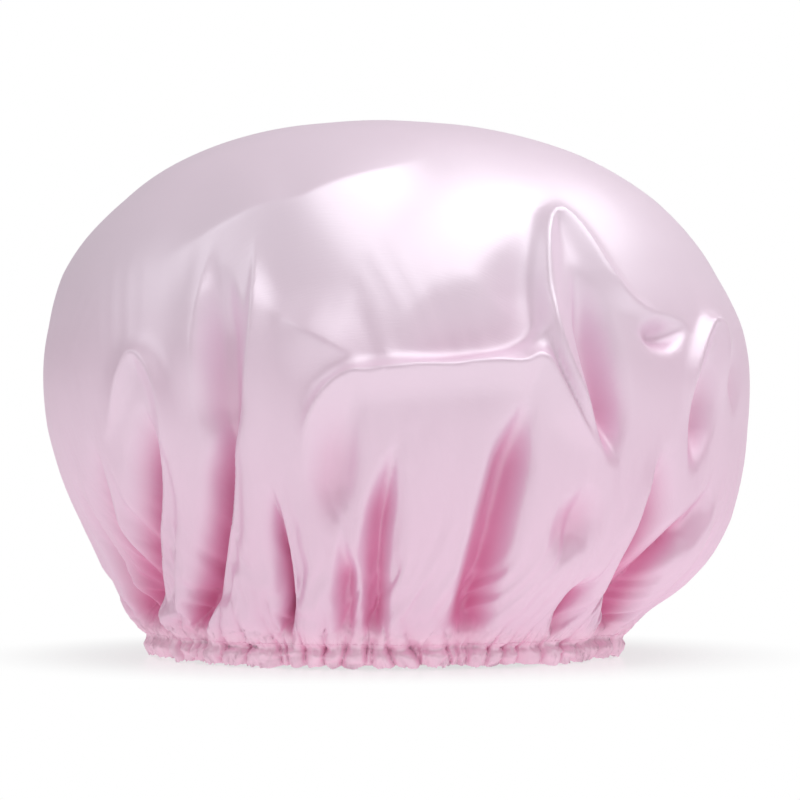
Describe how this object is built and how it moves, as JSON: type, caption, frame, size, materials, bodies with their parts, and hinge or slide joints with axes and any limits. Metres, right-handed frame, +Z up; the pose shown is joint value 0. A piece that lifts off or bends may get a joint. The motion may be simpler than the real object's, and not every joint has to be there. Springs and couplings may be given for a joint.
{
  "type": "shower cap",
  "caption": "Round gathered satin shower cap with a waterproof film lining and an elastic hem that stretches to go over the head.",
  "frame": {"origin": "middle of the cap's outline seen from above, on the surface that the hem stands on", "axes": "+X to the right of the picture, +Y from the front to the nape, +Z up through the crown"},
  "size_m": [0.28, 0.27, 0.212],
  "materials": {
    "satin": "pale pink satin weave with a soft sheen",
    "film": "frosted white film",
    "elastic": "white braided elastic",
    "white_thread": "white sewing thread",
    "pink_thread": "pink sewing thread"
  },
  "bodies": {
    "cap": {"satin_shell": "satin", "waterproof_lining": "film", "hem_casing": "satin", "elastic_front": "elastic", "hem_needle_thread": "pink_thread", "hem_bobbin_thread": "pink_thread"},
    "nape": {"elastic_back": "elastic", "elastic_tack": "white_thread"}
  },
  "joints": [
    {"name": "opening_stretch", "type": "slide", "parent": "cap", "child": "nape", "axis": [0, 1, 0], "range_m": [0, 0.06], "stiffness_N_per_m": 40, "deforming": ["satin_shell", "waterproof_lining", "hem_casing", "hem_needle_thread", "hem_bobbin_thread"]}
  ]
}
